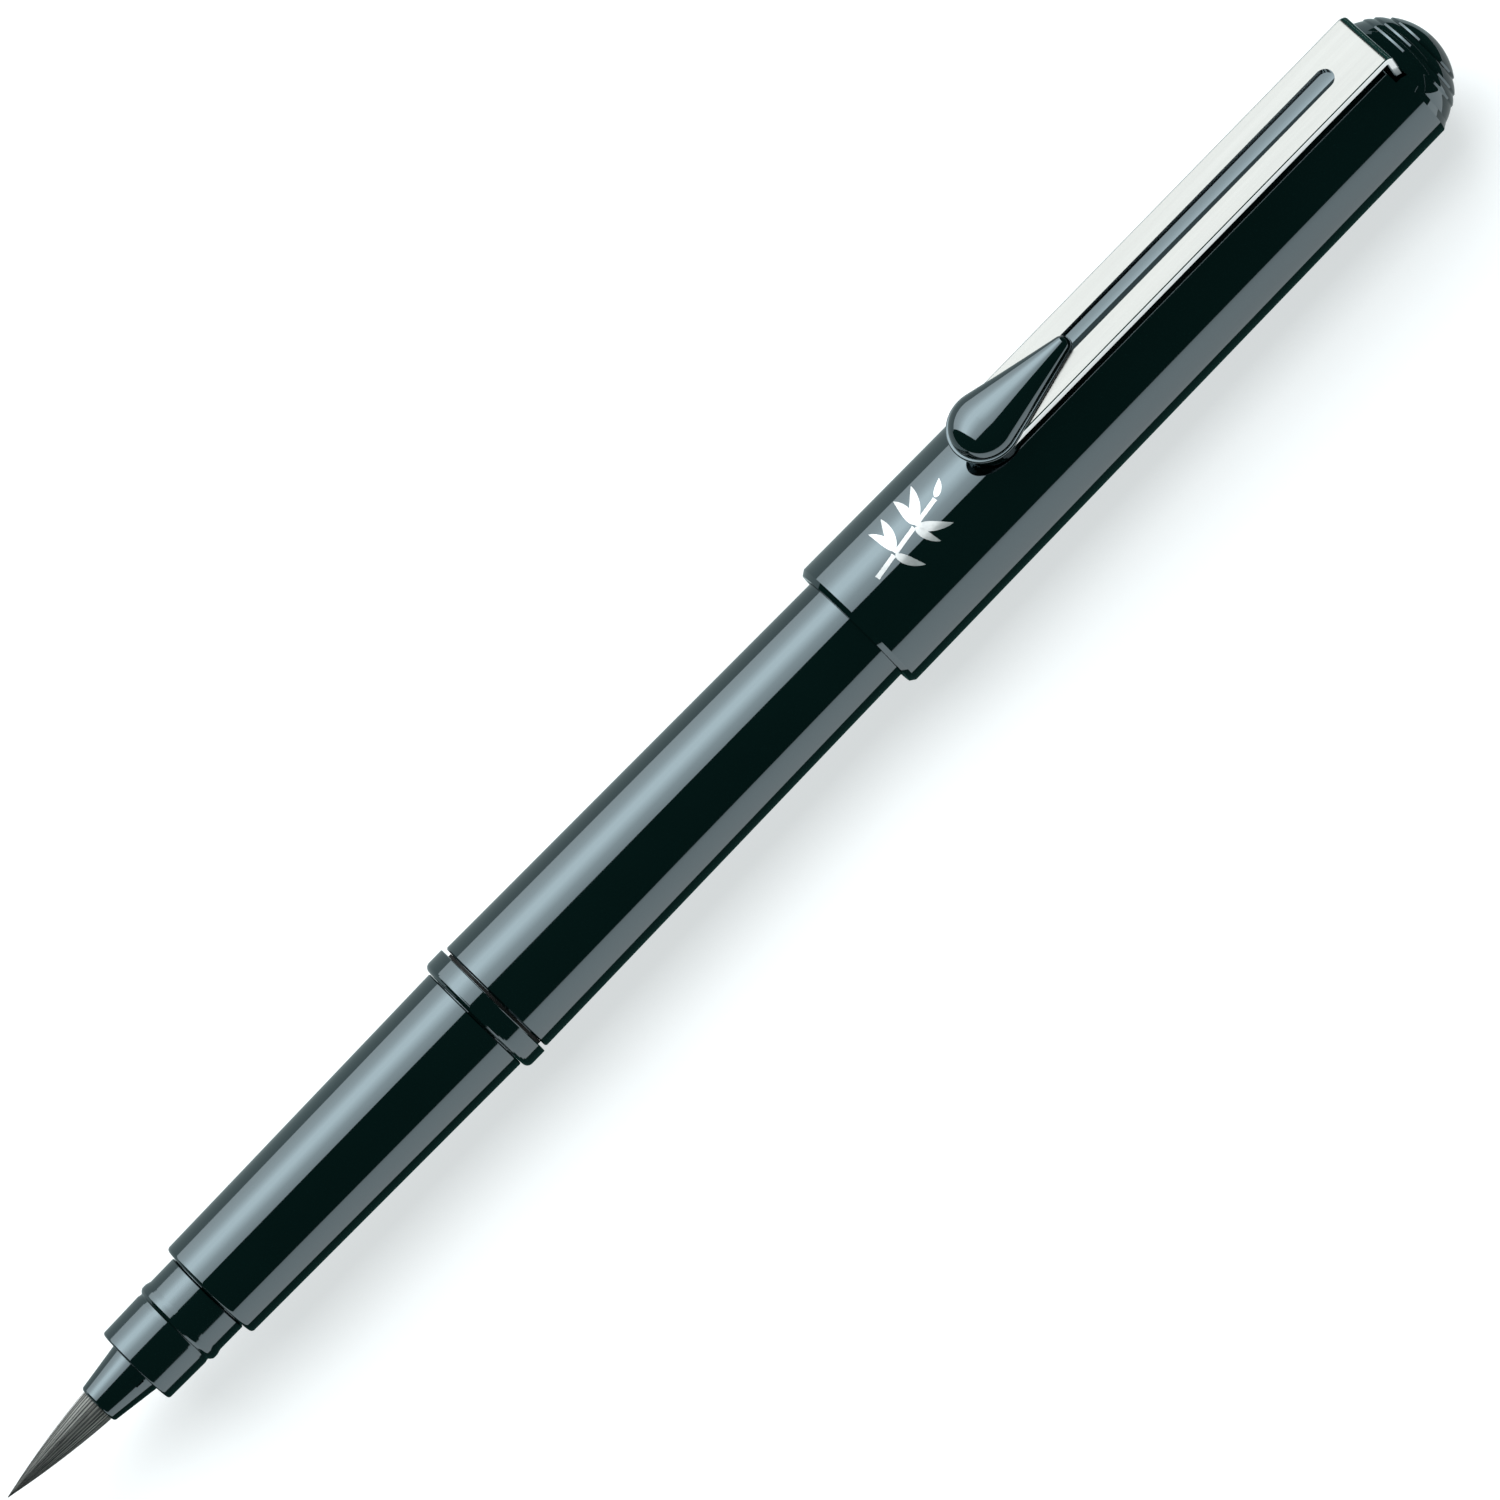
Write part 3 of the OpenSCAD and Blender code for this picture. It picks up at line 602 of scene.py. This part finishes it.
# ---------------------------------------------------------------- camera, at the photograph's angle
ROLL, TILT = math.radians(45.7), math.radians(27)
DISTANCE, CENTRE_X, AIM_X, AIM_DROP = 965, 65.0, 85.6, 0.73
back = Vector((0, -math.sin(TILT), math.cos(TILT)))
across = Vector((0, math.cos(TILT), math.sin(TILT)))
up = math.sin(ROLL) * Vector((1, 0, 0)) + math.cos(ROLL) * across
target = place(AIM_X) - across * AIM_DROP * MM
eye = place(CENTRE_X) + back * DISTANCE * MM
look = (target - eye).normalized()
side = look.cross(up).normalized()
top = side.cross(look)
cam_data = bpy.data.cameras.new("camera")
cam_data.lens, cam_data.sensor_width = 285, 36
cam_data.clip_start, cam_data.clip_end = 0.01, 20
camera = bpy.data.objects.new("camera", cam_data)
bpy.context.scene.collection.objects.link(camera)
rot = np.array([list(side), list(top), list(-look)]).T
camera.matrix_world = Matrix.Translation(eye) @ Matrix(rot.tolist()).to_4x4()
bpy.context.scene.camera = camera

# ---------------------------------------------------------------- floor and light
FLOOR_HALF, FLOOR_Z = 3, -0.0002
corners = [(x * FLOOR_HALF, y * FLOOR_HALF, 0) for x, y in ((-1, -1), (1, -1), (1, 1), (-1, 1))]
floor = add_mesh("floor", corners, [[0, 1, 2, 3]], False)
floor.location.z = FLOOR_Z
mat, nt, bsdf = material("floor_paper")
nt.links.new(ramp(nt, noise(nt, 30), 0.3, 0.7, grey(0.5), grey(0.52)), bsdf.inputs["Base Color"])
bsdf.inputs["Roughness"].default_value = 0.9
bsdf.inputs["Specular IOR Level"].default_value = 0.1
bsdf.inputs["Emission Color"].default_value = (0.96, 0.99, 1.0, 1)
bsdf.inputs["Emission Strength"].default_value = 0.68
paint(floor, mat)


BOX_R, BOX_HALF, BOX_LOW, BOX_HIGH, BOX_STRENGTH = 0.8, 0.55, -6, 79, 4.0
BOX_TONES = ((0.25, 0.55), (0.55, 1.0), (0.68, 0.98), (0.85, 0.62))


def glow_material(name, colour):
    """A material that only gives off light."""
    mat = bpy.data.materials.new(name)
    mat.use_nodes = True
    nt = mat.node_tree
    nt.nodes.clear()
    out = nt.nodes.new("ShaderNodeOutputMaterial")
    glow = node(nt, "ShaderNodeEmission", Color=colour, Strength=1.0)
    nt.links.new(glow.outputs[0], out.inputs["Surface"])
    return mat, nt, glow


def softbox(name, n=24):
    """A curved bank of light over the pen, from angle BOX_LOW to BOX_HIGH off vertical, towards +Y."""
    verts, faces = [], []
    for k in range(n + 1):
        a = math.radians(BOX_LOW + (BOX_HIGH - BOX_LOW) * k / n)
        for x in (-BOX_HALF, BOX_HALF):
            verts.append((x, BOX_R * math.sin(a), AXIS + BOX_R * math.cos(a)))
    for k in range(n):
        faces.append([2 * k, 2 * k + 1, 2 * k + 3, 2 * k + 2])
    obj = add_mesh(name, verts, faces)
    mat, nt, glow = glow_material(name, (0.93, 0.98, 1.0, 1))
    coord = nt.nodes.new("ShaderNodeTexCoord")
    split = nt.nodes.new("ShaderNodeSeparateXYZ")
    nt.links.new(coord.outputs["Object"], split.inputs[0])
    mapped = node(nt, "ShaderNodeMapRange")
    mapped.inputs["From Min"].default_value = BOX_R * math.sin(math.radians(BOX_LOW))
    mapped.inputs["From Max"].default_value = BOX_R * math.sin(math.radians(BOX_HIGH))
    nt.links.new(split.outputs["Y"], mapped.inputs["Value"])
    curve = nt.nodes.new("ShaderNodeValToRGB")
    nt.links.new(mapped.outputs["Result"], curve.inputs["Fac"])
    els = curve.color_ramp.elements
    els[0].position, els[0].color = 0.0, grey(0.42)
    els[1].position, els[1].color = 1.0, grey(0.45)
    for pos, v in BOX_TONES:
        els.new(pos).color = grey(v)
    gain = node(nt, "ShaderNodeMath", operation="MULTIPLY")
    gain.inputs[1].default_value = BOX_STRENGTH
    nt.links.new(curve.outputs["Color"], gain.inputs[0])
    nt.links.new(gain.outputs[0], glow.inputs["Strength"])
    obj.data.materials.append(mat)
    obj.visible_camera = False


def glow_sheet(name, verts, faces, colour, camera_only=False):
    """A studio sheet of even light that shows only in reflections, or only as the far background."""
    obj = add_mesh(name, verts, faces, False)
    obj.data.materials.append(glow_material(name, colour)[0])
    obj.visible_camera = camera_only
    obj.visible_glossy = not camera_only
    for ray in ("diffuse", "shadow", "transmission", "volume_scatter"):
        setattr(obj, "visible_" + ray, False)


def card(name, corners, colour, x0, x1):
    """A card along the pen. Corners are (y, z) in metres, joined from x0 to x1."""
    verts = [(x, y, z) for y, z in corners for x in (x0, x1)]
    faces = [[2 * k, 2 * k + 1, 2 * k + 3, 2 * k + 2] for k in range(len(corners) - 1)]
    glow_sheet(name, verts, faces, colour)


softbox("softbox")
edge = math.radians(BOX_HIGH)
far_y, far_z = BOX_R * math.sin(edge), AXIS + BOX_R * math.cos(edge)
near_end, past_end = place(162).x, place(174.5).x
CARD_START, CARD_END, CARD_Z = -0.6, 0.7, 0.0001
UNDER_Y0, UNDER_Y1 = -0.0093, 0.004
# painted shade: a dim colour for sheets that show only in reflections
PAINTED_SHADE = (0.014, 0.048, 0.042, 1)
under = [(UNDER_Y0, CARD_Z), (UNDER_Y1, CARD_Z)]
# painted shadow: a dark sheet under the pen, seen only in reflections, stands in for the pen's shadow on the
# floor
card("painted_shadow_card", under, PAINTED_SHADE, CARD_START, near_end)
card("rim_card", under, (0.34, 0.38, 0.38, 1), near_end, past_end)
card("grey_card", [(UNDER_Y1, CARD_Z), (far_y, CARD_Z), (far_y, far_z)], (0.38, 0.47, 0.48, 1),
     CARD_START, CARD_END)
# painted shade: a dark sheet past the finial end, seen only in reflections, shows the lit floor there as dark
glow_sheet("end_card", [(x, y, 0.0002) for x, y in (
    (past_end, -0.012), (0.8, -1.1), (0.8, 1.1), (past_end, 0.012))], [[0, 1, 2, 3]], PAINTED_SHADE)

# the far wall that the camera sees behind the floor
WALL_N, WALL_R, WALL_H = 64, 2.9, 4.0
turns = [2 * math.pi * k / WALL_N for k in range(WALL_N)]
wall = [(WALL_R * math.cos(a), WALL_R * math.sin(a), z) for z in (FLOOR_Z, WALL_H) for a in turns]
panels = [[k, (k + 1) % WALL_N, WALL_N + (k + 1) % WALL_N, WALL_N + k] for k in range(WALL_N)]
glow_sheet("backdrop", wall, panels, (0.76, 0.82, 0.82, 1), camera_only=True)
world = bpy.data.worlds.new("world")
bpy.context.scene.world = world
world.use_nodes = True
sky = world.node_tree.nodes["Background"]
sky.inputs["Color"].default_value = (0.012, 0.05, 0.043, 1)
sky.inputs["Strength"].default_value = 1.0
bpy.context.scene.view_settings.view_transform = "Standard"
